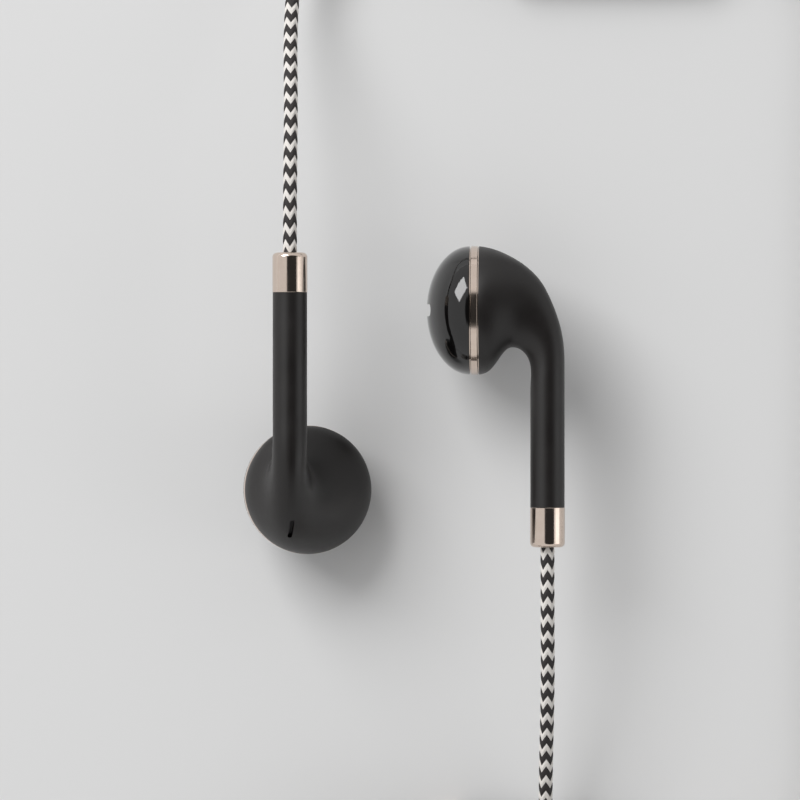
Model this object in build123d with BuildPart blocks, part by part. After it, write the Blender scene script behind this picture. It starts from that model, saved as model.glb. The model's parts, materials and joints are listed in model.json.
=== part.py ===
from build123d import *
from math import cos, hypot, pi, radians, sin, tan
import os

# Wired open-fit earphones lying on a table. Millimetres, +Z up, z = 0 is the table.
# Each bud is drawn once, as the left-ear bud, in its own frame:
#   X runs from the speaker's front to its back, Y away from the cord, Z to the stem's side,
#   with the origin at the middle of the trim ring. The right-ear bud is its mirror image.

os.makedirs("parts", exist_ok=True)

# Head
head_radius = 8.45  # both shells where they meet the ring
wall = 0.9
ring_width = 1.18
ring_proud = 0.03  # the ring stands this much above the shells
dome_depth = 5.73
edge_break = 0.1
fit = 0.05  # clearance between pieces that slide together

# Stem
stem_radius = 2.25
stem_set_back = 9.6  # stem axis behind the ring's middle
stem_offset = 3.9  # stem axis to the side of the head's axis
stem_start = 11.0  # the straight stem begins this far below the head's axis
stem_end = 25.9
ferrule_length = 5.2
ferrule_proud = 0.04
ferrule_wall = 0.5
ferrule_floor = 0.7
ferrule_rounding = 0.6

# Openings
port_length, port_height = 7.4, 1.6
port_cross_length, port_cross_height = 0.45, 3.2
vent_length, vent_width = 3.4, 0.58
screen_thickness = 0.12
seam, seam_depth = 0.1, 0.3  # the fine gap at each side of the ring
screen_length, screen_height = port_length + 1.0, port_height + 2.2
port_seat_depth = 1.8  # the screen's seat, behind the tip of the dome

# Driver, from its middle outwards
plate_radius, plate_thickness = 3.5, 0.5
magnet_radius, magnet_thickness = 3.4, 1.4
coil_gap = 0.15  # each side of the voice coil
coil_wall = 0.3
coil_stand = 0.8  # the voice coil's rim in front of the plate
yoke_wall, yoke_floor = 0.5, 0.6
diaphragm_radius = 5.0
film = 0.12
travel = 0.2  # the diaphragm's stroke each way
hoop_wall = 0.6
hoop_front, hoop_rear = -1.4, 1.1
plate_front = -0.5

# Cords
branch_radius = 0.9
lead_radius = 1.1
cord_fit = 0.06  # a hole is this much wider in radius than its cord

# Where the buds lie, as the middle of each trim ring, and how each one leans
left_at, left_lean = (9.34, 11.80), 1.6
right_at, right_lean = (-12.70, -11.84), 10.0

# Remote, splitter and plug
remote_length, remote_width, remote_height, remote_wall = 28.0, 5.4, 4.4, 0.7
remote_rounding = 1.1
button_length, button_width, button_proud, button_travel = 9.0, 2.8, 0.3, 0.25
button_gap = 0.15  # all round the button, in its opening
flange_thickness, flange_width = 0.5, 0.45  # the button's flange, held under the shell
remote_middle = (26.0, 59.0)
splitter_length, splitter_width, splitter_height = 12.0, 5.0, 3.6
collar_length = 2.4
splitter_mouth = (16.6, -56.4)  # middle of the face that takes the two branches
branch_pitch = 2.2
plug_radius, plug_length = 3.4, 14.5
relief_length = 7.5
pin_radius, pin_sleeve, pin_ring, pin_gap, pin_tip = 1.75, 5.0, 2.0, 0.4, 3.8
plug_at = (19.0, -71.5)  # the free end of the strain relief

# Coils put away beside the buds
branch_coil_at, branch_coil_radius = (28.4, -67.1), 8.7  # middle of its turns
hank_at, hank_straight, hank_fold_radius = (-3.0, -69.3), 14.8, 7.3
hank_rows, tie_thickness, tie_width = 5, 0.4, 4.5

ring_radius = head_radius + ring_proud
ring_half = ring_width / 2
hoop_radius = head_radius - wall  # its bore is cut a little into both shells, as a seat
bore_radius = stem_radius - wall
spigot_radius = stem_radius + ferrule_proud - ferrule_wall - fit
ferrule_end = stem_end + ferrule_length
hole_radius = branch_radius + cord_fit


def head_bottom(lean):
    """How far the ring or the dome reaches below the ring's middle at this lean of its axis."""
    ring = ring_radius * abs(sin(radians(lean))) + ring_half * abs(cos(radians(lean)))
    dome = hypot(dome_depth * cos(radians(lean)), head_radius * sin(radians(lean)))
    return max(ring, dome + ring_half * cos(radians(lean)))


# The left-ear bud lies on the side of its head and the right-ear one on its speaker.
left_seat = Plane(
    (*left_at, head_bottom(90 - left_lean)),
    x_dir=(cos(radians(left_lean)), 0, sin(radians(left_lean))),
    z_dir=(-sin(radians(left_lean)), 0, cos(radians(left_lean))),
)
right_seat = Plane(
    (*right_at, head_bottom(right_lean)),
    x_dir=(sin(radians(right_lean)), 0, cos(radians(right_lean))),
    z_dir=(cos(radians(right_lean)), 0, -sin(radians(right_lean))),
)


def save(piece, name):
    piece.label = name
    export_step(piece, f"parts/{name}.step")


def save_pair(piece, name):
    """The same piece in both buds, mirrored for the right ear."""
    save(left_seat.location * piece, f"left_{name}")
    save(right_seat.location * mirror(piece, about=Plane.XY), f"right_{name}")


def turned(outline):
    """A solid turned about the head's axis from (along, radius) corners."""
    with BuildPart() as made:
        with BuildSketch():
            with BuildLine():
                Polyline(*outline, close=True)
            make_face()
        revolve(axis=Axis.X)
    return made.part


def disc(radius, start, end, inner=0.0):
    return turned([(start, inner), (end, inner), (end, radius), (start, radius)])


# Back shell: a loft on planes that fan from the ring round to the stem.
with BuildLine() as crest_line:
    Spline(
        (ring_half, head_radius),
        (4.46, 7.21),
        (8.66, 3.86),
        (stem_set_back + 1.6, -1.9),
        (stem_set_back + stem_radius, -stem_start),
        tangents=((1, -0.12), (0, -1)),
    )
with BuildLine() as throat_line:
    Spline(
        (ring_half, -head_radius),
        (3.1, -6.6),
        (5.3, -4.79),
        (6.75, -5.9),
        (stem_set_back - stem_radius, -stem_start),
        tangents=((1, 0.1), (0, -1)),
    )
stations = (0, 0.04, 0.1, 0.18, 0.28, 0.4, 0.55, 0.75, 0.9, 0.97, 1)


def shell_loft(inset):
    """The back shell's form, every section drawn in by the inset."""
    with BuildPart() as form:
        for t in stations:
            crest, throat = crest_line.line @ t, throat_line.line @ t
            up = (crest - throat).normalized()
            half_height = (crest - throat).length / 2 - inset
            blend = (1 - t) ** 6 * (1 + 6 * t)
            ridge = stem_offset * (1 - (1 - t) ** 6)
            near = stem_offset + stem_radius
            near += (head_radius - near) * blend - inset
            far = stem_offset - stem_radius
            far += (-head_radius - far) * blend + inset
            middle = (crest + throat) / 2 + Vector(0, 0, ridge)
            with BuildSketch(Plane(middle, x_dir=up, z_dir=up.cross(Vector(0, 0, 1)))):
                with BuildLine():
                    EllipticalCenterArc((0, 0), half_height, near - ridge, 0, arc_size=180)
                    EllipticalCenterArc((0, 0), half_height, ridge - far, 180, arc_size=180)
                make_face()
        loft()
    return form.part


stem_top = Plane(
    (stem_set_back, -stem_start, stem_offset), x_dir=(1, 0, 0), z_dir=(0, -1, 0)
)
vent_share = 0.31  # of the crest, from the ring
vent_crest, vent_run = crest_line.line @ vent_share, crest_line.line % vent_share
vent_plane = Plane(
    vent_crest + Vector(0, 0, stem_offset - 0.5),
    x_dir=vent_run,
    z_dir=Vector(0, 0, 1).cross(vent_run),
)
vent_seat_depth = wall - screen_thickness
vent_land = 0.6  # the screen's margin round the slot

with BuildPart() as back_shell:
    add(shell_loft(0))
    with BuildSketch(stem_top):
        Circle(stem_radius)
    extrude(amount=stem_end - stem_start)
    with BuildSketch(stem_top):
        Circle(spigot_radius)
    extrude(amount=ferrule_end - ferrule_floor - fit - stem_start)
    add(shell_loft(wall), mode=Mode.SUBTRACT)
    with BuildSketch(stem_top):
        Circle(bore_radius)
    extrude(amount=ferrule_length + stem_end - stem_start, mode=Mode.SUBTRACT)
    with BuildSketch(Plane.YZ.offset(ring_half)):
        Circle(hoop_radius + fit)
    extrude(amount=hoop_rear + fit - ring_half, mode=Mode.SUBTRACT)
    with BuildSketch(vent_plane):
        SlotOverall(vent_length, vent_width)
    extrude(amount=2, both=True, mode=Mode.SUBTRACT)
    with BuildSketch(vent_plane.offset(-vent_seat_depth)):
        Rectangle(vent_length + 2 * vent_land + fit, vent_width + 2 * vent_land + fit)
    extrude(amount=-2 * vent_land, mode=Mode.SUBTRACT)
save_pair(back_shell.part, "back_shell")

with BuildPart() as vent_screen:
    with BuildSketch(vent_plane.offset(-vent_seat_depth)):
        Rectangle(vent_length + 2 * vent_land, vent_width + 2 * vent_land)
    extrude(amount=-screen_thickness)
save_pair(vent_screen.part, "vent_screen")


# Front cover: a half ellipse turned about the head's axis, with the port and its screen's seat.
def dome(inset):
    with BuildPart() as form:
        with BuildSketch():
            with BuildLine():
                EllipticalCenterArc(
                    (-ring_half, 0), dome_depth - inset, head_radius - inset, 90, arc_size=90
                )
                Line((-ring_half - dome_depth + inset, 0), (-ring_half, 0))
                Line((-ring_half, 0), (-ring_half, head_radius - inset))
            make_face()
        revolve(axis=Axis.X)
    return form.part


dome_tip = -ring_half - dome_depth
seat_plane = Plane((dome_tip + port_seat_depth, 0, 0), x_dir=(0, 0, 1), z_dir=(-1, 0, 0))

with BuildPart() as front_cover:
    add(dome(0))
    add(dome(wall), mode=Mode.SUBTRACT)
    with BuildPart(mode=Mode.PRIVATE) as seat:
        with BuildSketch(seat_plane):
            SlotOverall(screen_length + 0.8, screen_height + 0.8)
        extrude(amount=dome_depth)
        add(dome(wall / 2), mode=Mode.INTERSECT)
    add(seat.part)
    with BuildSketch(seat_plane):
        SlotOverall(port_length, port_height)
        SlotOverall(port_cross_height, port_cross_length, rotation=90)
    extrude(amount=dome_depth, mode=Mode.SUBTRACT)
    with BuildSketch(seat_plane):
        SlotOverall(screen_length, screen_height)
    extrude(amount=screen_thickness, mode=Mode.SUBTRACT)
    with BuildSketch(Plane.YZ.offset(-ring_half)):
        Circle(hoop_radius + fit)
    extrude(amount=hoop_front - fit + ring_half, mode=Mode.SUBTRACT)
    chamfer(front_cover.edges().filter_by(GeomType.CIRCLE).sort_by(SortBy.RADIUS)[-1], edge_break)
save_pair(front_cover.part, "front_cover")

with BuildPart() as front_screen:
    with BuildSketch(seat_plane):
        SlotOverall(screen_length - fit, screen_height - fit)
    extrude(amount=screen_thickness)
save_pair(front_screen.part, "front_screen")

with BuildPart() as trim_ring:
    add(disc(ring_radius - seam_depth, -ring_half, ring_half, hoop_radius + fit))
    add(disc(ring_radius, seam - ring_half, ring_half - seam, hoop_radius + fit))
    chamfer(trim_ring.edges().filter_by(GeomType.CIRCLE).group_by(SortBy.RADIUS)[-1], edge_break)
save_pair(trim_ring.part, "trim_ring")

# Driver: magnet, plate and yoke behind, voice coil and diaphragm in front, all in a hoop.
gap_inner = plate_radius + coil_gap
gap_outer = gap_inner + coil_wall + coil_gap
yoke_radius = gap_outer + yoke_wall
plate_rear = plate_front + plate_thickness
magnet_rear = plate_rear + magnet_thickness
yoke_rear = magnet_rear + yoke_floor
hoop_inner = hoop_radius - hoop_wall
surround_inner = diaphragm_radius + 0.1
web_front, web_rear, web_hole_radius = 0.2, 0.7, 0.7
ledge = 0.6  # carries the rim of the surround

with BuildPart() as driver_frame:
    add(disc(hoop_radius, hoop_front, hoop_rear, hoop_inner))
    add(disc(hoop_inner, web_front, web_rear, yoke_radius))
    add(disc(hoop_inner, hoop_front, hoop_front + ledge, hoop_inner - ledge))
    with BuildSketch(Plane.YZ.offset(web_front)):
        with PolarLocations((hoop_inner + yoke_radius) / 2, 6):
            Circle(web_hole_radius)
    extrude(amount=web_rear - web_front, mode=Mode.SUBTRACT)
save_pair(driver_frame.part, "driver_frame")

with BuildPart() as yoke:
    add(disc(yoke_radius, plate_front, yoke_rear))
    add(disc(gap_outer, plate_front, magnet_rear), mode=Mode.SUBTRACT)
save_pair(yoke.part, "yoke")
save_pair(disc(magnet_radius, plate_rear, magnet_rear), "magnet")
save_pair(disc(plate_radius, plate_front, plate_rear), "top_plate")

coil_front = plate_front - coil_stand
coil_rear = magnet_rear - 4 * travel  # clear of the yoke's floor at the end of its stroke
save_pair(disc(gap_inner + coil_wall, coil_front, coil_rear, gap_inner), "voice_coil")

# The diaphragm's middle dome and flat edge, as one pressed film.
dome_rise, shoulder_radius = 0.9, 2.6
edge_front = coil_front - film
with BuildPart() as diaphragm:
    with BuildSketch():
        with BuildLine():
            Polyline(
                (edge_front - dome_rise, 0),
                (edge_front - dome_rise + film, 0),
                (coil_front - dome_rise * 0.3, shoulder_radius),
                (coil_front, gap_inner),
                (coil_front, diaphragm_radius),
                (edge_front, diaphragm_radius),
                (edge_front, gap_inner - 0.05),
                (edge_front - dome_rise * 0.34, shoulder_radius),
                close=True,
            )
        make_face()
    revolve(axis=Axis.X)
save_pair(diaphragm.part, "diaphragm")

with BuildPart() as surround:
    roll = (hoop_inner - surround_inner) / 2 - 0.25
    with BuildSketch():
        with BuildLine():
            middle = surround_inner + roll
            foot = hoop_front
            Polyline((foot, surround_inner), (foot - film, surround_inner))
            ThreePointArc(
                (foot - film, surround_inner),
                (foot - film - roll * 0.7, middle),
                (foot - film, middle + roll),
            )
            Polyline(
                (foot - film, middle + roll),
                (foot - film, hoop_inner),
                (foot, hoop_inner),
                (foot, middle + roll),
            )
            ThreePointArc(
                (foot, middle + roll),
                (foot - roll * 0.7, middle),
                (foot, surround_inner),
            )
        make_face()
    revolve(axis=Axis.X)
save_pair(surround.part, "surround")

board_at = (yoke_rear, 0.0, 1.2)
board_thickness = 0.4
with BuildPart() as terminal_board:
    with BuildSketch(Plane(board_at, x_dir=(0, 1, 0), z_dir=(1, 0, 0))):
        RectangleRounded(4.0, 2.2, 0.4)
    extrude(amount=board_thickness)
save_pair(terminal_board.part, "terminal_board")

# Stem end: metal ferrule, soft bush round the cord, and the knot that takes the pull.
stem_foot = Plane(
    (stem_set_back, -ferrule_end, stem_offset), x_dir=(1, 0, 0), z_dir=(0, 1, 0)
)
with BuildPart() as ferrule:
    with BuildSketch(stem_foot):
        Circle(stem_radius + ferrule_proud)
    extrude(amount=ferrule_length)
    fillet(ferrule.edges().group_by(Axis.Y)[0], ferrule_rounding)
    chamfer(ferrule.edges().group_by(Axis.Y)[-1], edge_break / 2)
    with BuildSketch(stem_foot.offset(ferrule_floor)):
        Circle(spigot_radius + fit)
    extrude(amount=ferrule_length, mode=Mode.SUBTRACT)
    with BuildSketch(stem_foot):
        Circle(hole_radius)
    extrude(amount=ferrule_length, mode=Mode.SUBTRACT)
save_pair(ferrule.part, "ferrule")

bush_length, knot_length, knot_rounding = 2.4, 2.2, 0.25
bush_start = ferrule_floor + fit
knot_start = bush_start + bush_length
with BuildPart() as strain_bush:
    with BuildSketch(stem_foot.offset(bush_start)):
        Circle(bore_radius - fit / 2)
        Circle(hole_radius, mode=Mode.SUBTRACT)
    extrude(amount=bush_length)
save_pair(strain_bush.part, "strain_bush")

with BuildPart() as cord_knot:
    with BuildSketch(stem_foot.offset(knot_start)):
        Circle(bore_radius - 2 * fit)
    extrude(amount=knot_length)
    fillet(cord_knot.edges(), knot_rounding)
save_pair(cord_knot.part, "cord_knot")


def corner_radii(points, share=0.45):
    """An arc radius for each corner: a share of its shorter run over the tangent of half the turn."""
    radii = []
    for before, here, after in zip(points, points[1:], points[2:]):
        first, second = Vector(here) - Vector(before), Vector(after) - Vector(here)
        turn = radians(first.get_angle(second))
        radii.append(share * min(first.length, second.length) / tan(turn / 2))
    return radii


def tube(points, radius, name):
    """A round tube along straight runs joined by tangent arcs; prints its length and radii."""
    radii = corner_radii(points)
    with BuildPart() as made:
        with BuildLine() as path:
            FilletPolyline(*points, radius=radii)
        route = path.wire()
        with BuildSketch(Plane(route @ 0, z_dir=route % 0)):
            Circle(radius)
        sweep(path=route)
    ratio = made.part.volume / (pi * radius**2 * route.length)
    print(name, f"length {route.length:.1f}, volume ratio {ratio:.4f}")
    print("   radii in diameters:", " ".join(f"{r / radius / 2:.1f}" for r in radii))
    return made.part


# Two insulated wires from the knot, up the stem and round to the driver's board.
wire_radius = 0.2
knot_end = -ferrule_end + knot_start + knot_length
wires = []
for side in (-0.4, 0.4):
    route = [
        (stem_set_back + side, knot_end, stem_offset),
        (stem_set_back + side, -9.0, stem_offset),
        (stem_set_back - 0.9 + side, -2.6, stem_offset - 0.5),
        (stem_set_back - 4.1, side, 2.2),
        (board_at[0] + board_thickness, side * 2, board_at[2]),
    ]
    wires.append(tube(route, wire_radius, "lead wire"))
with BuildPart() as lead_wires:
    add(wires)
save_pair(lead_wires.part, "lead_wires")

# Remote, halfway up the right-ear branch: two half shells, board, switch, microphone, button.
half_height = remote_height / 2


def remote_block(inset, low, high):
    with BuildPart() as made:
        with BuildSketch(Plane((*remote_middle, low))):
            SlotOverall(remote_length - 2 * inset, remote_width - 2 * inset)
        extrude(amount=high - low)
    return made.part


def remote_half(low, high, outer_face):
    """Half of the remote's shell, with half of each cord hole."""
    with BuildPart() as made:
        add(remote_block(0, low, high))
        fillet(made.faces().sort_by(Axis.Z)[outer_face].edges(), remote_rounding)
        add(
            remote_block(remote_wall, remote_wall, remote_height - remote_wall),
            mode=Mode.SUBTRACT,
        )
        with BuildSketch(Plane((*remote_middle, half_height), x_dir=(0, 1, 0), z_dir=(1, 0, 0))):
            Circle(hole_radius)
        extrude(amount=remote_length, both=True, mode=Mode.SUBTRACT)
    return made.part


microphone_x = remote_middle[0] + 8.5
microphone_radius, microphone_height, microphone_hole = 1.5, 1.1, 0.4
with BuildPart() as remote_back:
    add(remote_half(0, half_height, 0))
    with Locations((microphone_x, remote_middle[1], 0)):
        Cylinder(microphone_hole, 2 * remote_wall, mode=Mode.SUBTRACT)
save(remote_back.part, "remote_back")

with BuildPart() as remote_front:
    add(remote_half(half_height, remote_height, -1))
    with BuildSketch(Plane((*remote_middle, remote_height - 2 * remote_wall))):
        SlotOverall(button_length + 2 * button_gap, button_width + 2 * button_gap)
    extrude(amount=3 * remote_wall, mode=Mode.SUBTRACT)
save(remote_front.part, "remote_front")

board_low, board_high, board_length = 1.2, 1.8, 20.0
board_width = remote_width - 2 * remote_wall - 0.6
with BuildPart() as remote_board:
    with BuildSketch(Plane((*remote_middle, board_low))):
        RectangleRounded(board_length, board_width, 0.5)
    extrude(amount=board_high - board_low)
save(remote_board.part, "remote_board")

switch_height = 0.75
with BuildPart() as remote_switch:
    with BuildSketch(Plane((*remote_middle, board_high))):
        RectangleRounded(3.4, 2.8, 0.3)
    extrude(amount=switch_height)
save(remote_switch.part, "remote_switch")

with BuildPart() as remote_microphone:
    with BuildSketch(Plane((microphone_x, remote_middle[1], board_high))):
        Circle(microphone_radius)
    extrude(amount=microphone_height)
save(remote_microphone.part, "remote_microphone")

flange_low = remote_height - remote_wall - flange_thickness - 2 * fit
plunger_foot = board_high + switch_height + button_travel + fit
plunger_radius, button_rounding = 0.8, 0.25
with BuildPart() as remote_button:
    with BuildSketch(Plane((*remote_middle, flange_low))):
        SlotOverall(button_length, button_width)
    extrude(amount=remote_height + button_proud - flange_low)
    fillet(remote_button.faces().sort_by(Axis.Z)[-1].edges(), button_rounding)
    with BuildSketch(Plane((*remote_middle, flange_low))):
        SlotOverall(button_length + 2 * flange_width, button_width + 2 * flange_width)
    extrude(amount=flange_thickness)
    with BuildSketch(Plane((*remote_middle, plunger_foot))):
        Circle(plunger_radius)
    extrude(amount=flange_low - plunger_foot)
save(remote_button.part, "remote_button")

# Splitter, with both branches entering from +X and the main lead leaving towards -X.
mouth = Plane((*splitter_mouth, splitter_height / 2), x_dir=(0, 1, 0), z_dir=(-1, 0, 0))
splitter_corner = splitter_height / 2 - 0.3
splitter_rounding, splitter_hole_depth = 0.4, 3.0
with BuildPart() as splitter_body:
    with BuildSketch(mouth):
        RectangleRounded(splitter_width, splitter_height, splitter_corner)
    extrude(amount=splitter_length - collar_length)
    fillet(splitter_body.faces().sort_by(Axis.X)[-1].edges(), splitter_rounding)
    with BuildSketch(mouth):
        with GridLocations(branch_pitch, 0, 2, 1):
            Circle(hole_radius)
    extrude(amount=splitter_hole_depth, mode=Mode.SUBTRACT)
    with BuildSketch(mouth.offset(splitter_length - collar_length)):
        Circle(lead_radius + cord_fit)
    extrude(amount=-splitter_hole_depth, mode=Mode.SUBTRACT)
save(splitter_body.part, "splitter_body")

with BuildPart() as splitter_collar:
    with BuildSketch(mouth.offset(splitter_length - collar_length)):
        RectangleRounded(splitter_width, splitter_height, splitter_corner)
        Circle(lead_radius + cord_fit, mode=Mode.SUBTRACT)
    extrude(amount=collar_length)
    fillet(splitter_collar.faces().sort_by(Axis.X)[0].outer_wire().edges(), splitter_rounding)
save(splitter_collar.part, "splitter_collar")

# Plug: strain relief, shell, and the four contacts of a 3.5 mm pin with their insulators.
branch_coil_height = 4 * branch_radius
plug_z = branch_coil_height + plug_radius
plug_line = Plane((*plug_at, plug_z), x_dir=(0, 1, 0), z_dir=(1, 0, 0))
shell_start = relief_length
pin_start = shell_start + plug_length
relief_thin, relief_thick = 2.1, 2.7
tongue_length = 3.0  # of the relief, inside the shell
groove_width, groove_depth, groove_starts = 0.5, 0.1, (1.6, 3.6)
shell_bore, shell_wall, shell_floor = 2.0, 0.7, 0.8

with BuildPart() as plug_relief:
    with BuildSketch(plug_line):
        Circle(relief_thin)
    with BuildSketch(plug_line.offset(relief_length)):
        Circle(relief_thick)
    loft()
    with BuildSketch(plug_line.offset(relief_length)):
        Circle(shell_bore - fit)
    extrude(amount=tongue_length)
    with BuildSketch(plug_line):
        Circle(lead_radius + cord_fit)
    extrude(amount=relief_length + tongue_length, mode=Mode.SUBTRACT)
    for start in groove_starts:
        with BuildSketch(plug_line.offset(start)):
            Circle(relief_thick + 1)
            Circle(relief_thin - groove_depth, mode=Mode.SUBTRACT)
        extrude(amount=groove_width, mode=Mode.SUBTRACT)
save(plug_relief.part, "plug_relief")

core_length, root_length, root_radius = 3.0, 2.4, 1.5  # the pin's root, inside the shell
core_rear = pin_start - 2 * core_length
with BuildPart() as plug_shell:
    with BuildSketch(plug_line.offset(shell_start)):
        Circle(plug_radius)
    extrude(amount=plug_length)
    fillet(plug_shell.edges().group_by(Axis.X)[0], 0.8)
    fillet(plug_shell.edges().group_by(Axis.X)[-1], 0.5)
    with BuildSketch(plug_line.offset(shell_start)):
        Circle(shell_bore)
    extrude(amount=tongue_length + fit, mode=Mode.SUBTRACT)
    with BuildSketch(plug_line.offset(shell_start + tongue_length)):
        Circle(plug_radius - shell_wall)
    extrude(amount=plug_length - tongue_length - shell_floor, mode=Mode.SUBTRACT)
    with BuildSketch(plug_line.offset(pin_start)):
        Circle(root_radius + fit)
    extrude(amount=-2 * shell_floor, mode=Mode.SUBTRACT)
save(plug_shell.part, "plug_shell")

rod_radius = 0.45
with BuildPart() as plug_core:
    with BuildSketch(plug_line.offset(core_rear)):
        Circle(plug_radius - shell_wall - fit)
        Circle(rod_radius, mode=Mode.SUBTRACT)
    extrude(amount=core_length)
save(plug_core.part, "plug_core")


def contact(start, length, name, root=0.0):
    """One ring of the pin, with a thinner root behind it."""
    with BuildPart() as made:
        with BuildSketch(plug_line.offset(start)):
            Circle(pin_radius)
        extrude(amount=length)
        if root:
            with BuildSketch(plug_line.offset(start)):
                Circle(root_radius)
            extrude(amount=-root)
        with BuildSketch(plug_line.offset(start - root)):
            Circle(rod_radius + fit)
        extrude(amount=length + root, mode=Mode.SUBTRACT)
    save(made.part, name)
    return start + length


gaps = [contact(pin_start, pin_sleeve, "plug_sleeve", root_length)]
gaps.append(contact(gaps[-1] + pin_gap, pin_ring, "plug_ring_rear"))
gaps.append(contact(gaps[-1] + pin_gap, pin_ring, "plug_ring_front"))
with BuildPart() as plug_insulators:
    for start in gaps:
        with BuildSketch(plug_line.offset(start)):
            Circle(pin_radius)
            Circle(rod_radius, mode=Mode.SUBTRACT)
        extrude(amount=pin_gap)
save(plug_insulators.part, "plug_insulators")

tip_start = gaps[-1] + pin_gap
tip_band, waist = 0.5, 1.15
with BuildPart() as plug_tip:
    with BuildSketch(Plane.XZ):
        with BuildLine():
            Polyline(
                (core_rear, 0),
                (core_rear, rod_radius),
                (tip_start, rod_radius),
                (tip_start, pin_radius),
                (tip_start + tip_band, pin_radius),
                (tip_start + 1.2, waist),
                (tip_start + 1.6, waist),
                (tip_start + 2.2, pin_radius - 0.05),
                (tip_start + pin_tip - 0.35, 0.65),
                (tip_start + pin_tip, 0.3),
                (tip_start + pin_tip, 0),
                close=True,
            )
        make_face()
    revolve(axis=Axis.X)
save(Pos(*plug_at, plug_z) * plug_tip.part, "plug_tip")

# Cords. A route's first points lie on the exit's own axis and the rest are chosen by hand.
left_exit = left_seat.from_local_coords((stem_set_back, -ferrule_end, stem_offset))
right_exit = right_seat.from_local_coords((stem_set_back, -ferrule_end, -stem_offset))
inside = bush_start + bush_length
mid_remote = (remote_middle[1], half_height)
remote_left = remote_middle[0] - remote_length / 2
remote_right = remote_middle[0] + remote_length / 2
upper_hole = splitter_mouth[1] + branch_pitch / 2
lower_hole = splitter_mouth[1] - branch_pitch / 2
floor = branch_radius

straight = 3.0  # a cord runs this far on the axis of the hole it leaves or enters
seat_in = 2.5  # and reaches this far into it

right_upper = [
    (right_exit.X, right_exit.Y - inside, right_exit.Z),
    (right_exit.X, right_exit.Y + 8, right_exit.Z),
    (right_exit.X + 0.1, 38.5, 13.6),
    (right_exit.X - 0.1, 49.0, 8.4),
    (-14.4, 56.4, 5.0),
    (-9.0, 60.4, 2.8),
    (-0.5, 60.5, 1.8),
    (remote_left - straight, *mid_remote),
    (remote_left + seat_in, *mid_remote),
]
right_lower = [
    (remote_right - seat_in, *mid_remote),
    (remote_right + straight, *mid_remote),
    (49.6, 58.7, 1.5),
    (54.0, 53.8, floor),
    (54.2, 45.0, floor),
    (53.8, 33.0, floor),
    (54.0, 10.0, floor),
    (53.7, -16.0, floor),
    (53.9, -39.0, floor),
    (54.2, -52.9, floor),
    (50.9, -58.2, floor),
    (44.2, -60.2, floor),
    (32.0, -55.7, floor),
    (splitter_mouth[0] + 1.6 * straight, upper_hole, splitter_height / 2),
    (splitter_mouth[0] - seat_in, upper_hole, splitter_height / 2),
]
left_upper = [
    (left_exit.X, left_exit.Y + inside, left_exit.Z),
    (left_exit.X, left_exit.Y - 8, left_exit.Z),
    (left_exit.X + 0.1, -37.5, 10.6),
    (left_exit.X - 0.1, -47.5, 7.4),
    (18.7, -57.0, 4.6),
    (branch_coil_at[0] - branch_coil_radius - 0.6, -66.0, 3.1),
]
coil_tail = [
    (branch_coil_at[0] - 1.0, branch_coil_at[1] + branch_coil_radius + 0.6, floor),
    (splitter_mouth[0] + straight, lower_hole, splitter_height / 2),
    (splitter_mouth[0] - seat_in, lower_hole, splitter_height / 2),
]
splitter_end = splitter_mouth[0] - splitter_length
hank_half = hank_fold_radius + 2 * lead_radius  # to the outside of its turns
hank_top = tie_thickness + hank_rows * 2 * lead_radius
lead_exit = hank_top - 3 * lead_radius  # the lead leaves the hank from its last row but one
lead_upper = [
    (splitter_end + seat_in, splitter_mouth[1], splitter_height / 2),
    (splitter_end - straight, splitter_mouth[1], splitter_height / 2),
    (-7.5, hank_at[1] + hank_fold_radius + 4.0, 1.7),
    (-14.5, hank_at[1] + hank_fold_radius - 1.2, 1.6),
]
lead_end = [
    (hank_at[0] + hank_straight / 2, hank_at[1] - hank_half + lead_radius, lead_exit),
    (10.2, -76.2, lead_exit),
    (plug_at[0] - straight, plug_at[1], plug_z),
    (plug_at[0] + relief_length / 2, plug_at[1], plug_z),
]

save(tube(right_upper, branch_radius, "right_cord_upper"), "right_cord_upper")
save(tube(right_lower, branch_radius, "right_cord_lower"), "right_cord_lower")
save(tube(left_upper, branch_radius, "left_cord"), "left_cord")
save(tube(coil_tail, branch_radius, "left_cord_tail"), "left_cord_tail")
save(tube(lead_upper, lead_radius, "main_lead"), "main_lead")
save(tube(lead_end, lead_radius, "main_lead_end"), "main_lead_end")

# The coil and the hank as closed solids of their outer shape, two cords wide.
with BuildPart() as left_cord_coil:
    with BuildSketch(Plane((*branch_coil_at, 0))):
        Circle(branch_coil_radius + 2 * branch_radius)
        Circle(branch_coil_radius - 2 * branch_radius, mode=Mode.SUBTRACT)
    extrude(amount=branch_coil_height)
save(left_cord_coil.part, "left_cord_coil")

with BuildPart() as main_lead_hank:
    with BuildSketch(Plane((*hank_at, tie_thickness))):
        SlotCenterToCenter(hank_straight, 2 * hank_half)
        SlotCenterToCenter(
            hank_straight, 2 * (hank_fold_radius - 2 * lead_radius), mode=Mode.SUBTRACT
        )
    extrude(amount=hank_top - tie_thickness)
save(main_lead_hank.part, "main_lead_hank")

# The tie: a soft strap once round the whole hank.
strap_half = hank_half + 0.1
with BuildPart() as hank_tie:
    with BuildSketch(Plane((*hank_at, 0), x_dir=(0, 1, 0), z_dir=(1, 0, 0))):
        with Locations((0, hank_top / 2 + tie_thickness / 2)):
            RectangleRounded(
                2 * (strap_half + tie_thickness), hank_top + tie_thickness, 0.5
            )
            RectangleRounded(
                2 * strap_half, hank_top - tie_thickness, 0.1, mode=Mode.SUBTRACT
            )
    extrude(amount=tie_width / 2, both=True)
save(hank_tie.part, "hank_tie")
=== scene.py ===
import json
from math import cos, pi, radians, sin

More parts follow.
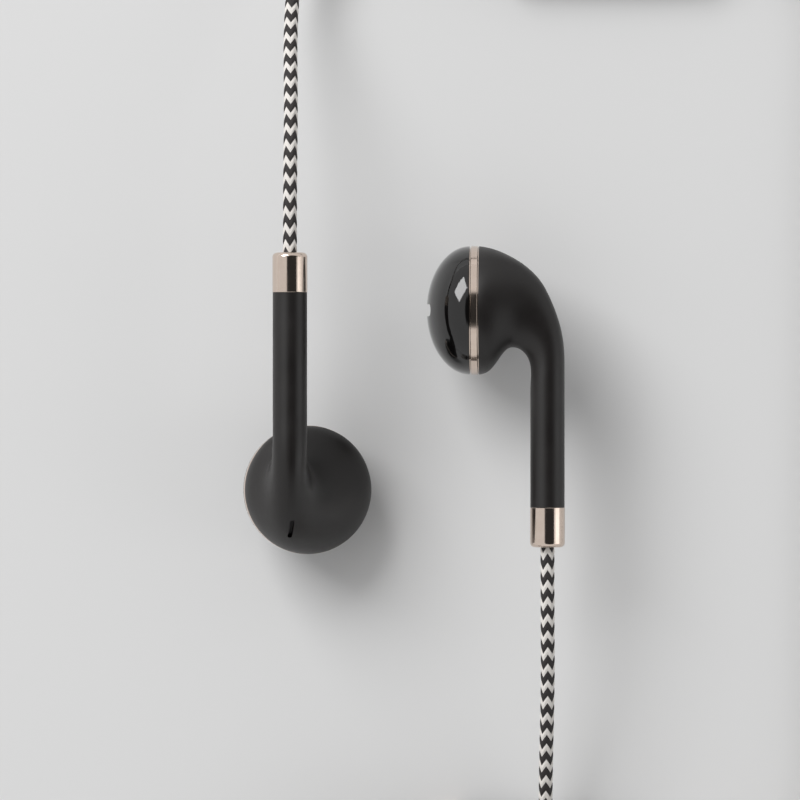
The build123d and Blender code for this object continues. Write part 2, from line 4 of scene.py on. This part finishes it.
import bpy
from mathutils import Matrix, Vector


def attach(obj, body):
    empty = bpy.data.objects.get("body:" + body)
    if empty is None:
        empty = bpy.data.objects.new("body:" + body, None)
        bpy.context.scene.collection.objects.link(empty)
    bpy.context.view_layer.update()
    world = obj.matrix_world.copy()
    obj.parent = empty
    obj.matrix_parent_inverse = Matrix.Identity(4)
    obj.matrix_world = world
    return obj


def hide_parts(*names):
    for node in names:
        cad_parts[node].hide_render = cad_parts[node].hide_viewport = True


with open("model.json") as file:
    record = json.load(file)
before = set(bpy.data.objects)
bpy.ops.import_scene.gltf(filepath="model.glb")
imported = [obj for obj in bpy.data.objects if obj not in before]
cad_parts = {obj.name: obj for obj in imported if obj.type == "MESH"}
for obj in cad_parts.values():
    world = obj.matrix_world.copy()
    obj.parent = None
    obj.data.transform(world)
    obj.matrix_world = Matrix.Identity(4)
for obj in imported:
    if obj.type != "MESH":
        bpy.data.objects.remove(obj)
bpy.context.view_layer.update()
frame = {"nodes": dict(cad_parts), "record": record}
nodes = frame["nodes"]
scene = bpy.context.scene
mm = 0.001
print("frame loaded,", len(nodes), "nodes")


# Camera straight above the two buds, far enough away for a flat perspective.
view = {"height": 1.0, "budTop": 0.0085, "across": 0.1053, "aside": -0.0005, "sensor": 36.0}


def addCamera():
    data = bpy.data.cameras.new("camera")
    data.sensor_width = view["sensor"]
    data.lens = view["sensor"] * view["height"] / view["across"]
    data.clip_end = 10
    camera = bpy.data.objects.new("camera", data)
    camera.location = (view["aside"], 0, view["height"] + view["budTop"])
    scene.collection.objects.link(camera)
    scene.camera = camera


addCamera()
scene.view_settings.view_transform = "Standard"


# sRGB hex to the linear colour that shaders take
def linear(code):
    parts = [int(code[i:i + 2], 16) / 255 for i in (1, 3, 5)]
    return (*[c / 12.92 if c <= 0.04045 else ((c + 0.055) / 1.055) ** 2.4 for c in parts], 1)


# One node with its settings and inputs. An input is a value, or a socket that is linked to it.
def addNode(tree, kind, settings={}, inputs={}):
    node = tree.nodes.new(kind)
    for name, value in settings.items():
        setattr(node, name, value)
    for key, value in inputs.items():
        if isinstance(value, bpy.types.NodeSocket):
            tree.links.new(value, node.inputs[key])
        else:
            node.inputs[key].default_value = value
    return node


def startMaterial(name, shaderInputs):
    material = bpy.data.materials.new(name)
    material.use_nodes = True
    tree = material.node_tree
    shader = tree.nodes["Principled BSDF"]
    for key, value in shaderInputs.items():
        shader.inputs[key].default_value = value
    return material, tree, shader


# Polyester yarn, spun and braided: matt, with a faint sheen, and fibres that run along each float.
yarns = {
    "blackYarn": {"colour": "#171313", "edge": "#2c2626", "roughness": 0.66, "sheen": 0.05},
    "whiteYarn": {"colour": "#f2efeb", "edge": "#c6c0ba", "roughness": 0.7, "sheen": 0.1},
}
fibre = {"across": 0.05 * mm, "along": 1.2 * mm, "depth": 0.02 * mm}  # drawn coarser than real fibres


def yarnMaterial(name):
    spec = yarns[name]
    material, tree, shader = startMaterial(
        name, {"Roughness": spec["roughness"], "Sheen Weight": spec["sheen"], "Sheen Roughness": 0.4}
    )
    along = addNode(tree, "ShaderNodeUVMap", {"uv_map": "braidMap"}).outputs[0]
    sized = addNode(tree, "ShaderNodeMapping", {}, {
        "Vector": along, "Scale": (1 / fibre["across"], 1 / fibre["along"], 1),
    }).outputs[0]
    strands = addNode(tree, "ShaderNodeTexNoise", {"noise_dimensions": "2D"}, {
        "Vector": sized, "Scale": 1.0, "Detail": 2.0, "Roughness": 0.6,
    }).outputs[0]
    tone = addNode(tree, "ShaderNodeMix", {"data_type": "RGBA"}, {
        0: strands, 6: linear(spec["colour"]), 7: linear(spec["edge"]),
    }).outputs[2]
    tree.links.new(tone, shader.inputs["Base Color"])
    bump = addNode(tree, "ShaderNodeBump", {}, {
        "Strength": 1.0, "Distance": fibre["depth"], "Height": strands,
    }).outputs[0]
    tree.links.new(bump, shader.inputs["Normal"])
    return material


# Braid: eight columns of floats round the cord, each column slanting the other way from the last,
# so that black and white floats make zigzag bands.
braid = {
    "Columns": 8, "Across": 4, "Along": 9, "Dark share": 5 / 9,
    "Pitch": 2.2 * mm, "Rise": 0.98 * mm, "Relief": 0.12 * mm, "Fray": 0.02 * mm,
}


def braidTree():
    tree = bpy.data.node_groups.new("braid", "GeometryNodeTree")
    wanted = (
        ("Route", "NodeSocketGeometry"), ("Radius", "NodeSocketFloat"), ("Pitch", "NodeSocketFloat"),
        ("Rise", "NodeSocketFloat"), ("Relief", "NodeSocketFloat"), ("Fray", "NodeSocketFloat"),
        ("Turn", "NodeSocketFloat"), ("Columns", "NodeSocketInt"), ("Across", "NodeSocketInt"),
        ("Along", "NodeSocketInt"), ("Dark share", "NodeSocketFloat"),
        ("Dark yarn", "NodeSocketMaterial"), ("Light yarn", "NodeSocketMaterial"),
    )
    for name, kind in wanted:
        tree.interface.new_socket(name, in_out="INPUT", socket_type=kind)
    tree.interface.new_socket("Braid", in_out="OUTPUT", socket_type="NodeSocketGeometry")
    given = addNode(tree, "NodeGroupInput").outputs

    def math(operation, a, b=0.0, c=0.0):
        return addNode(tree, "ShaderNodeMath", {"operation": operation}, {0: a, 1: b, 2: c}).outputs[0]

    # a flat grid, a column of squares for each float's width and a row for each step along the cord
    length = addNode(tree, "GeometryNodeCurveLength", {}, {0: given["Route"]}).outputs[0]
    pitches = math("ROUND", math("DIVIDE", length, given["Pitch"]))
    rows = math("MULTIPLY", pitches, given["Along"])
    grid = addNode(tree, "GeometryNodeMeshGrid", {}, {
        "Size X": 1.0, "Size Y": 1.0,
        "Vertices X": math("MULTIPLY_ADD", given["Columns"], given["Across"], 1),
        "Vertices Y": math("ADD", rows, 1),
    }).outputs[0]
    place = addNode(tree, "GeometryNodeInputPosition").outputs[0]
    xyz = addNode(tree, "ShaderNodeSeparateXYZ", {}, {0: place}).outputs
    around = math("ADD", xyz[0], 0.5)
    along = math("ADD", xyz[1], 0.5)
    column = math("MULTIPLY", around, given["Columns"])
    band = math("FRACT", math("MULTIPLY", along, pitches))

    # material by band, and a map for the fibres, while the grid is still flat
    light = addNode(tree, "FunctionNodeCompare", {"operation": "GREATER_THAN"}, {
        0: band, 1: given["Dark share"],
    }).outputs[0]
    dark = addNode(tree, "GeometryNodeSetMaterial", {}, {"Geometry": grid, "Material": given["Dark yarn"]})
    both = addNode(tree, "GeometryNodeSetMaterial", {}, {
        "Geometry": dark.outputs[0], "Selection": light, "Material": given["Light yarn"],
    })
    flat = addNode(tree, "ShaderNodeCombineXYZ", {}, {
        0: math("MULTIPLY", along, length), 1: math("MULTIPLY", around, math("MULTIPLY", given["Radius"], 2 * pi)),
    }).outputs[0]
    mapped = addNode(tree, "GeometryNodeStoreNamedAttribute", {"data_type": "FLOAT2", "domain": "CORNER"}, {
        "Geometry": both.outputs[0], "Name": "braidMap", "Value": flat,
    })

    # both end rows close to a point
    openness = math("MINIMUM", math("MULTIPLY", math("MINIMUM", along, math("SUBTRACT", 1, along)), rows), 1)
    zigzag = math("MULTIPLY", math("SUBTRACT", math("PINGPONG", column, 1), 0.5), given["Rise"])
    reach = math("MULTIPLY_ADD", along, length, math("MULTIPLY", zigzag, openness))
    reach = math("MINIMUM", math("MAXIMUM", reach, 0), length)
    sample = addNode(tree, "GeometryNodeSampleCurve", {"mode": "LENGTH"}, {
        "Curves": given["Route"], "Length": reach,
    }).outputs
    side = addNode(tree, "ShaderNodeVectorMath", {"operation": "CROSS_PRODUCT"}, {
        0: sample["Tangent"], 1: sample["Normal"],
    }).outputs[0]

    # each float is rounded across itself and dips where it passes under its neighbours
    inDark = math("DIVIDE", band, given["Dark share"])
    inLight = math("DIVIDE", math("SUBTRACT", band, given["Dark share"]), math("SUBTRACT", 1, given["Dark share"]))
    isLight = math("GREATER_THAN", band, math("ADD", given["Dark share"], 0.001))
    within = math("ADD", math("MULTIPLY", inLight, isLight), math("MULTIPLY", inDark, math("SUBTRACT", 1, isLight)))
    crown = math("POWER", math("ABSOLUTE", math("SINE", math("MULTIPLY", within, pi))), 0.6)
    dip = math("POWER", math("ABSOLUTE", math("SINE", math("MULTIPLY", column, pi))), 0.5)
    height = math("MULTIPLY", crown, math("MULTIPLY_ADD", dip, 0.5, 0.5))
    rough = addNode(tree, "ShaderNodeTexNoise", {}, {"Vector": sample["Position"], "Scale": 1 / (1.1 * mm)}).outputs[0]
    radius = math("SUBTRACT", math("ADD", given["Radius"], 0.06 * mm), math("MULTIPLY", given["Relief"], math("SUBTRACT", 1, height)))
    radius = math("SUBTRACT", radius, math("MULTIPLY", rough, given["Fray"]))
    radius = math("MULTIPLY", radius, openness)
    angle = math("MULTIPLY", math("ADD", around, math("DIVIDE", given["Turn"], given["Columns"])), 2 * pi)
    outward = addNode(tree, "ShaderNodeVectorMath", {"operation": "SCALE"}, {
        0: sample["Normal"], "Scale": math("MULTIPLY", radius, math("COSINE", angle)),
    }).outputs[0]
    sideways = addNode(tree, "ShaderNodeVectorMath", {"operation": "MULTIPLY_ADD"}, {
        0: side, 1: math("MULTIPLY", radius, math("SINE", angle)), 2: outward,
    }).outputs[0]
    where = addNode(tree, "ShaderNodeVectorMath", {"operation": "ADD"}, {
        0: sample["Position"], 1: sideways,
    }).outputs[0]
    wrapped = addNode(tree, "GeometryNodeSetPosition", {}, {"Geometry": mapped.outputs[0], "Position": where})
    closed = addNode(tree, "GeometryNodeMergeByDistance", {}, {"Geometry": wrapped.outputs[0], "Distance": 0.002 * mm})
    smooth = addNode(tree, "GeometryNodeSetShadeSmooth", {}, {"Geometry": closed.outputs[0]})
    real = addNode(tree, "GeometryNodeRealizeInstances", {}, {0: smooth.outputs[0]})
    addNode(tree, "NodeGroupOutput", {}, {0: real.outputs[0]})
    return tree


braidNodes = braidTree()
blackYarn, whiteYarn = yarnMaterial("blackYarn"), yarnMaterial("whiteYarn")


# A route is one smooth spline through its given points.
def addRoute(name, points):
    curve = bpy.data.curves.new(name, "CURVE")
    curve.dimensions = "3D"
    curve.resolution_u = 24
    spline = curve.splines.new("NURBS")
    spline.points.add(len(points) - 1)
    for place, point in zip(spline.points, points):
        place.co = (*point, 1)
    spline.order_u = 3
    spline.use_endpoint_u = True
    route = bpy.data.objects.new(name, curve)
    scene.collection.objects.link(route)
    return route


def evaluatedMesh(piece):
    bpy.context.view_layer.update()
    return bpy.data.meshes.new_from_object(piece.evaluated_get(bpy.context.evaluated_depsgraph_get()))


# A geometry-nodes modifier, its inputs set by socket identifier, turned into a plain mesh object.
def grow(name, source, tree, values):
    modifier = source.modifiers.new(name, "NODES")
    modifier.node_group = tree
    for socket in tree.interface.items_tree:
        if socket.in_out == "INPUT" and socket.name in values:
            modifier[socket.identifier] = values[socket.name]
    mesh = evaluatedMesh(source)
    mesh.name = name
    bpy.data.objects.remove(source)
    made = bpy.data.objects.new(name, mesh)
    scene.collection.objects.link(made)
    return made


def addCord(name, points, spec, replaced):
    route = addRoute(name + "Route", points)
    path = [v.co.copy() for v in evaluatedMesh(route).vertices]
    length = sum((b - a).length for a, b in zip(path, path[1:]))
    size = spec["radius"] / (0.9 * mm)  # the lead is braided from the same number of thicker yarns
    values = {
        **braid, "Radius": spec["radius"], "Pitch": braid["Pitch"] * size, "Rise": braid["Rise"] * size,
        "Relief": braid["Relief"] * size, "Turn": spec["turn"], "Across": spec["across"],
        "Dark yarn": blackYarn, "Light yarn": whiteYarn,
    }
    cord = grow(name, route, braidNodes, values)
    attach(cord, "earphones")
    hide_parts(*replaced)
    print(f"{name}: {length:.4f} m, {len(cord.data.polygons)} faces")
    return cord


# Right-ear branch: up over the top edge and round to the remote, then down the right side to the splitter.
rightUpper = {
    "radius": 0.9 * mm, "turn": 0.0, "across": 5, "length": 0.0725, "lay": "loose", "end": "fitting",
    "exit": (-0.01487, 0.01926, 0.01654),
}
rightUpperPoints = [
    (-0.01487, 0.01611, 0.01654), (-0.01487, 0.02726, 0.01654), (-0.01477, 0.03850, 0.01360),
    (-0.01497, 0.04900, 0.00840), (-0.01440, 0.05640, 0.00500), (-0.00900, 0.06040, 0.00280),
    (-0.00050, 0.06050, 0.00180), (0.00900, 0.05900, 0.00220), (0.01450, 0.05900, 0.00220),
]
rightLower = {
    "radius": 0.9 * mm, "turn": 0.0, "across": 4, "length": 0.168, "lay": "loose", "end": "fitting",
    "exit": (0.0400, 0.0590, 0.0022),
}
rightLowerPoints = [
    (0.0375, 0.0590, 0.0022), (0.0430, 0.0590, 0.0022), (0.0496, 0.0587, 0.0015),
    (0.0540, 0.0538, 0.0009), (0.0542, 0.0450, 0.0009), (0.0538, 0.0330, 0.0009),
    (0.0540, 0.0100, 0.0009), (0.0537, -0.0160, 0.0009), (0.0539, -0.0390, 0.0009),
    (0.0542, -0.0529, 0.0009), (0.0509, -0.0582, 0.0009), (0.0442, -0.0602, 0.0009),
    (0.0320, -0.0557, 0.0009), (0.0214, -0.0553, 0.0018), (0.0141, -0.0553, 0.0018),
]

# Left-ear branch: down over the bottom edge, wound four turns side by side and on each other, then the splitter.
leftCord = {
    "radius": 0.9 * mm, "turn": 0.0, "across": 4, "length": 0.268, "lay": "coiled", "end": "fitting",
    "exit": (0.01883, -0.01930, 0.01266),
}
leftUpperPoints = [
    (0.01883, -0.01615, 0.01266), (0.01883, -0.02730, 0.01266), (0.01893, -0.03750, 0.01060),
    (0.01873, -0.04750, 0.00740), (0.01870, -0.05700, 0.00460), (0.01878, -0.06320, 0.00330),
]
leftTailPoints = [(0.0240, -0.0575, 0.0012), (0.0196, -0.0575, 0.0018), (0.0141, -0.0575, 0.0018)]
branchCoil = {
    "middle": (0.0284, -0.0671), "radius": 8.7 * mm, "perTurn": 16, "turns": 3.75, "start": 180, "shift": 60,
    "places": ((1, 3), (-1, 3), (-1, 1), (1, 1)),  # of each turn, in cord radii out from the middle and up
}


def turnPlace(places, index, share):
    first, second = places[index], places[min(index + 1, len(places) - 1)]
    return [a + (b - a) * share for a, b in zip(first, second)]


def coilPoints(spec, cordRadius):
    points = []
    drawnIn = (3 + cos(2 * pi / spec["perTurn"])) / 4  # the spline cuts inside its points by this
    for step in range(1, round(spec["perTurn"] * spec["turns"]) + 1):
        turned = 360 * step / spec["perTurn"]
        share = max(0, (turned % 360 - 360 + spec["shift"]) / spec["shift"])
        out, up = turnPlace(spec["places"], int(turned // 360), share)
        angle = radians(spec["start"] + turned)
        radius = (spec["radius"] + out * cordRadius) / drawnIn
        points.append((
            spec["middle"][0] + radius * cos(angle), spec["middle"][1] + radius * sin(angle), up * cordRadius,
        ))
    return points


# Main lead: from the splitter into a tied hank of ten turns, then the plug.
mainLead = {
    "radius": 1.1 * mm, "turn": 0.0, "across": 3, "length": 0.792, "lay": "coiled", "end": "plug",
    "exit": (0.0046, -0.0564, 0.0018),
}
leadUpperPoints = [
    (0.0071, -0.0564, 0.0018), (0.0016, -0.0564, 0.0018), (-0.0075, -0.0580, 0.0017),
    (-0.0120, -0.0606, 0.0016),
]
leadEndPoints = [
    (0.0137, -0.0739, 0.0080), (0.0165, -0.0717, 0.0071), (0.0190, -0.0715, 0.0070),
    (0.02275, -0.0715, 0.0070),
]
hank = {
    "middle": (-0.0030, -0.0693), "radius": 7.3 * mm, "straight": 16.8 * mm, "lift": 0.4 * mm,
    "perFold": 9, "perRun": 3, "turns": 10,
    "places": ((1, 1), (-1, 1), (-1, 3), (1, 3), (1, 5), (-1, 5), (-1, 7), (-1, 9), (1, 9), (1, 7)),
}


def hankPoints(spec, cordRadius):
    points = []
    half = spec["straight"] / 2
    foldStep = 180 / (spec["perFold"] - 1)
    drawnIn = (3 + cos(radians(foldStep))) / 4
    for index in range(spec["turns"]):
        out, up = spec["places"][index]
        following = spec["places"][min(index + 1, spec["turns"] - 1)]
        lap = []
        for k in range(spec["perFold"]):  # left fold, from the far side round to the near side
            lap.append((-half, 90 + k * foldStep, 0))
        for k in range(1, spec["perRun"] + 1):  # near run
            lap.append((-half + spec["straight"] * k / (spec["perRun"] + 1), 270, 0))
        for k in range(spec["perFold"]):  # right fold
            lap.append((half, 270 + k * foldStep, 0))
        for k in range(1, spec["perRun"] + 1):  # far run, where a turn moves over to the next one's place
            lap.append((half - spec["straight"] * k / (spec["perRun"] + 1), 90, k / (spec["perRun"] + 1)))
        if index == 0:
            lap = lap[2:]
        if index == spec["turns"] - 1:
            lap = lap[:spec["perFold"] + spec["perRun"] + 3]
        for along, angle, share in lap:
            outNow, upNow = out + (following[0] - out) * share, up + (following[1] - up) * share
            radius = (spec["radius"] + outNow * cordRadius) / (1 if angle in (90, 270) else drawnIn)
            points.append((
                spec["middle"][0] + along + radius * cos(radians(angle)),
                spec["middle"][1] + radius * sin(radians(angle)),
                spec["lift"] + upNow * cordRadius,
            ))
    return points


addCord("rightUpperCord", rightUpperPoints, rightUpper, ["right_cord_upper"])
addCord("rightLowerCord", rightLowerPoints, rightLower, ["right_cord_lower"])
addCord(
    "leftEarCord", leftUpperPoints + coilPoints(branchCoil, leftCord["radius"]) + leftTailPoints, leftCord,
    ["left_cord", "left_cord_coil", "left_cord_tail"],
)
addCord(
    "mainLeadCord", leadUpperPoints + hankPoints(hank, mainLead["radius"]) + leadEndPoints, mainLead,
    ["main_lead", "main_lead_hank", "main_lead_end"],
)
print("cords made")

# Each finish has two tones that a soft noise mixes, a roughness range, and a fine grain as bump.
# patch is the size of the tone's patches and grain the texture's, both in millimetres.
finishes = {
    # ABS under a matt soft-touch paint: deep warm black, a broad dull highlight and a fine tooth
    "shell_black": {
        "tones": ("#0f0c0b", "#151110"), "roughness": (0.38, 0.47), "patch": 6.0, "grain": 0.16,
        "depth": 0.004, "shader": {"IOR": 1.5},
    },
    # ABS moulded and polished: near-black with clear reflections
    "cover_black": {
        "tones": ("#060505", "#0b0a0a"), "roughness": (0.05, 0.09), "patch": 3.0, "grain": 1.6,
        "depth": 0.002, "shader": {"IOR": 1.52, "Coat Weight": 0.3, "Coat Roughness": 0.04},
    },
    # zinc alloy, polished and plated in pale rose gold: bright, warm, with faint rubbing marks
    "rose_metal": {
        "tones": ("#e6d6ca", "#d6c4b6"), "roughness": (0.09, 0.16), "patch": 1.5, "grain": 0.5,
        "depth": 0.0015, "shader": {"Metallic": 1.0},
    },
    # pressed steel, zinc plated
    "steel": {
        "tones": ("#a3a4a6", "#86888b"), "roughness": (0.25, 0.40), "patch": 1.2, "grain": 0.12,
        "depth": 0.004, "shader": {"Metallic": 1.0},
    },
    # sintered neodymium under nickel
    "magnet": {
        "tones": ("#c4c0b6", "#b0aca2"), "roughness": (0.15, 0.28), "patch": 1.0, "grain": 0.2,
        "depth": 0.003, "shader": {"Metallic": 1.0},
    },
    # PET film, pressed, slightly hazy
    "film": {
        "tones": ("#cdc6b0", "#bdb59c"), "roughness": (0.18, 0.30), "patch": 1.4, "grain": 0.4,
        "depth": 0.003, "shader": {"IOR": 1.57},
    },
    # enamelled copper, wound or stranded
    "copper": {
        "tones": ("#b96b3e", "#96502b"), "roughness": (0.22, 0.35), "patch": 0.6, "grain": 0.08,
        "depth": 0.006, "shader": {"Metallic": 1.0},
    },
    # polycarbonate, moulded with a spark-eroded texture
    "frame_plastic": {
        "tones": ("#2b2b2d", "#232325"), "roughness": (0.5, 0.62), "patch": 2.0, "grain": 0.1,
        "depth": 0.006, "shader": {"IOR": 1.58},
    },
    # glass-epoxy board under green lacquer
    "board": {
        "tones": ("#1c5232", "#174429"), "roughness": (0.2, 0.34), "patch": 0.8, "grain": 0.25,
        "depth": 0.004, "shader": {"IOR": 1.55},
    },
    # polyester cloth screen, woven too finely to resolve, drawn as a dark grain
    "screen": {
        "tones": ("#161616", "#2c2b2b"), "roughness": (0.6, 0.8), "patch": 0.12, "grain": 0.12,
        "depth": 0.03, "shader": {"Sheen Weight": 0.2},
    },
    # the braid itself, pulled into a knot
    "cord_core": {
        "tones": ("#2b2727", "#d8d4cf"), "roughness": (0.65, 0.8), "patch": 0.7, "grain": 0.1,
        "depth": 0.03, "shader": {"Sheen Weight": 0.2},
    },
    # thermoplastic elastomer, moulded: soft black with no clear reflection
    "soft_black": {
        "tones": ("#191818", "#222020"), "roughness": (0.5, 0.65), "patch": 2.5, "grain": 0.14,
        "depth": 0.005, "shader": {"IOR": 1.5},
    },
    # brass, turned and gold plated
    "contact_gold": {
        "tones": ("#e0bd78", "#d2ab60"), "roughness": (0.12, 0.22), "patch": 0.9, "grain": 0.15,
        "depth": 0.002, "shader": {"Metallic": 1.0},
    },
    # acetal, moulded
    "insulator": {
        "tones": ("#121212", "#1a1a1a"), "roughness": (0.3, 0.4), "patch": 1.0, "grain": 0.2,
        "depth": 0.003, "shader": {"IOR": 1.48},
    },
}


def finishMaterial(name, spec):
    material, tree, shader = startMaterial(name, spec["shader"])
    place = addNode(tree, "ShaderNodeTexCoord").outputs["Object"]
    patches = addNode(tree, "ShaderNodeTexNoise", {}, {
        "Vector": place, "Scale": 1 / (spec["patch"] * mm), "Detail": 4.0, "Roughness": 0.6,
    }).outputs[0]
    tone = addNode(tree, "ShaderNodeMix", {"data_type": "RGBA"}, {
        0: patches, 6: linear(spec["tones"][0]), 7: linear(spec["tones"][1]),
    }).outputs[2]
    dullness = addNode(tree, "ShaderNodeMapRange", {}, {
        "Value": patches, "From Min": 0.3, "From Max": 0.7,
        "To Min": spec["roughness"][0], "To Max": spec["roughness"][1],
    }).outputs[0]
    grain = addNode(tree, "ShaderNodeTexNoise", {}, {
        "Vector": place, "Scale": 1 / (spec["grain"] * mm), "Detail": 3.0,
    }).outputs[0]
    bump = addNode(tree, "ShaderNodeBump", {}, {
        "Strength": 1.0, "Distance": spec["depth"] * mm, "Height": grain,
    }).outputs[0]
    tree.links.new(tone, shader.inputs["Base Color"])
    tree.links.new(dullness, shader.inputs["Roughness"])
    tree.links.new(bump, shader.inputs["Normal"])
    return material


materials = {slot: finishMaterial(slot, spec) for slot, spec in finishes.items()}
for row in frame["record"]["subparts"]:
    made = materials.get(row["material_slot"])
    node = nodes[row["node"]]
    if made:
        for place in node.material_slots:
            place.material = made
print("materials set")


# Painted board, dead matt
table = {"side": 3.0, "tone": "#dcdcdc", "roughness": 0.9}


def addTable():
    half = table["side"] / 2
    mesh = bpy.data.meshes.new("table")
    mesh.from_pydata([(-half, -half, 0), (half, -half, 0), (half, half, 0), (-half, half, 0)], [], [(0, 1, 2, 3)])
    top = bpy.data.objects.new("table", mesh)
    scene.collection.objects.link(top)
    material, tree, shader = startMaterial("paintedBoard", {"Roughness": table["roughness"]})
    shader.inputs["Base Color"].default_value = linear(table["tone"])
    mesh.materials.append(material)


# A large soft box up and to the left, a weaker one low on the right, and a pale room whose dark ceiling
# leans to the right.
softBoxes = {
    "key": {"place": (-0.66, 0.76, 0.80), "size": (0.85, 0.62), "power": 13.0},
    "fill": {"place": (1.1, -0.2, 0.55), "size": (0.5, 0.9), "power": 1.2},
}
room = {"lean": (0.30, 0.0, 0.954), "ceiling": 0.03, "wall": 0.72, "ceilingStart": 0.76, "ceilingEnd": 0.84, "strength": 1.0}


def addSoftBox(name, spec):
    data = bpy.data.lights.new(name, "AREA")
    data.shape = "RECTANGLE"
    data.size, data.size_y = spec["size"]
    data.energy = spec["power"]
    light = bpy.data.objects.new(name, data)
    light.location = spec["place"]
    light.rotation_euler = (-Vector(spec["place"])).to_track_quat("-Z", "Y").to_euler()
    scene.collection.objects.link(light)


def addRoom():
    world = bpy.data.worlds.new("room")
    world.use_nodes = True
    tree = world.node_tree
    towards = addNode(tree, "ShaderNodeTexCoord").outputs["Generated"]
    up = addNode(tree, "ShaderNodeVectorMath", {"operation": "DOT_PRODUCT"}, {
        0: towards, 1: room["lean"],
    }).outputs["Value"]
    level = addNode(tree, "ShaderNodeMapRange", {"interpolation_type": "SMOOTHSTEP"}, {
        "Value": up, "From Min": room["ceilingStart"], "From Max": room["ceilingEnd"],
        "To Min": room["wall"], "To Max": room["ceiling"],
    }).outputs[0]
    back = tree.nodes["Background"]
    tree.links.new(level, back.inputs["Color"])
    back.inputs["Strength"].default_value = room["strength"]
    scene.world = world


addTable()
for name, spec in softBoxes.items():
    addSoftBox(name, spec)
addRoom()
print("table and lights set")
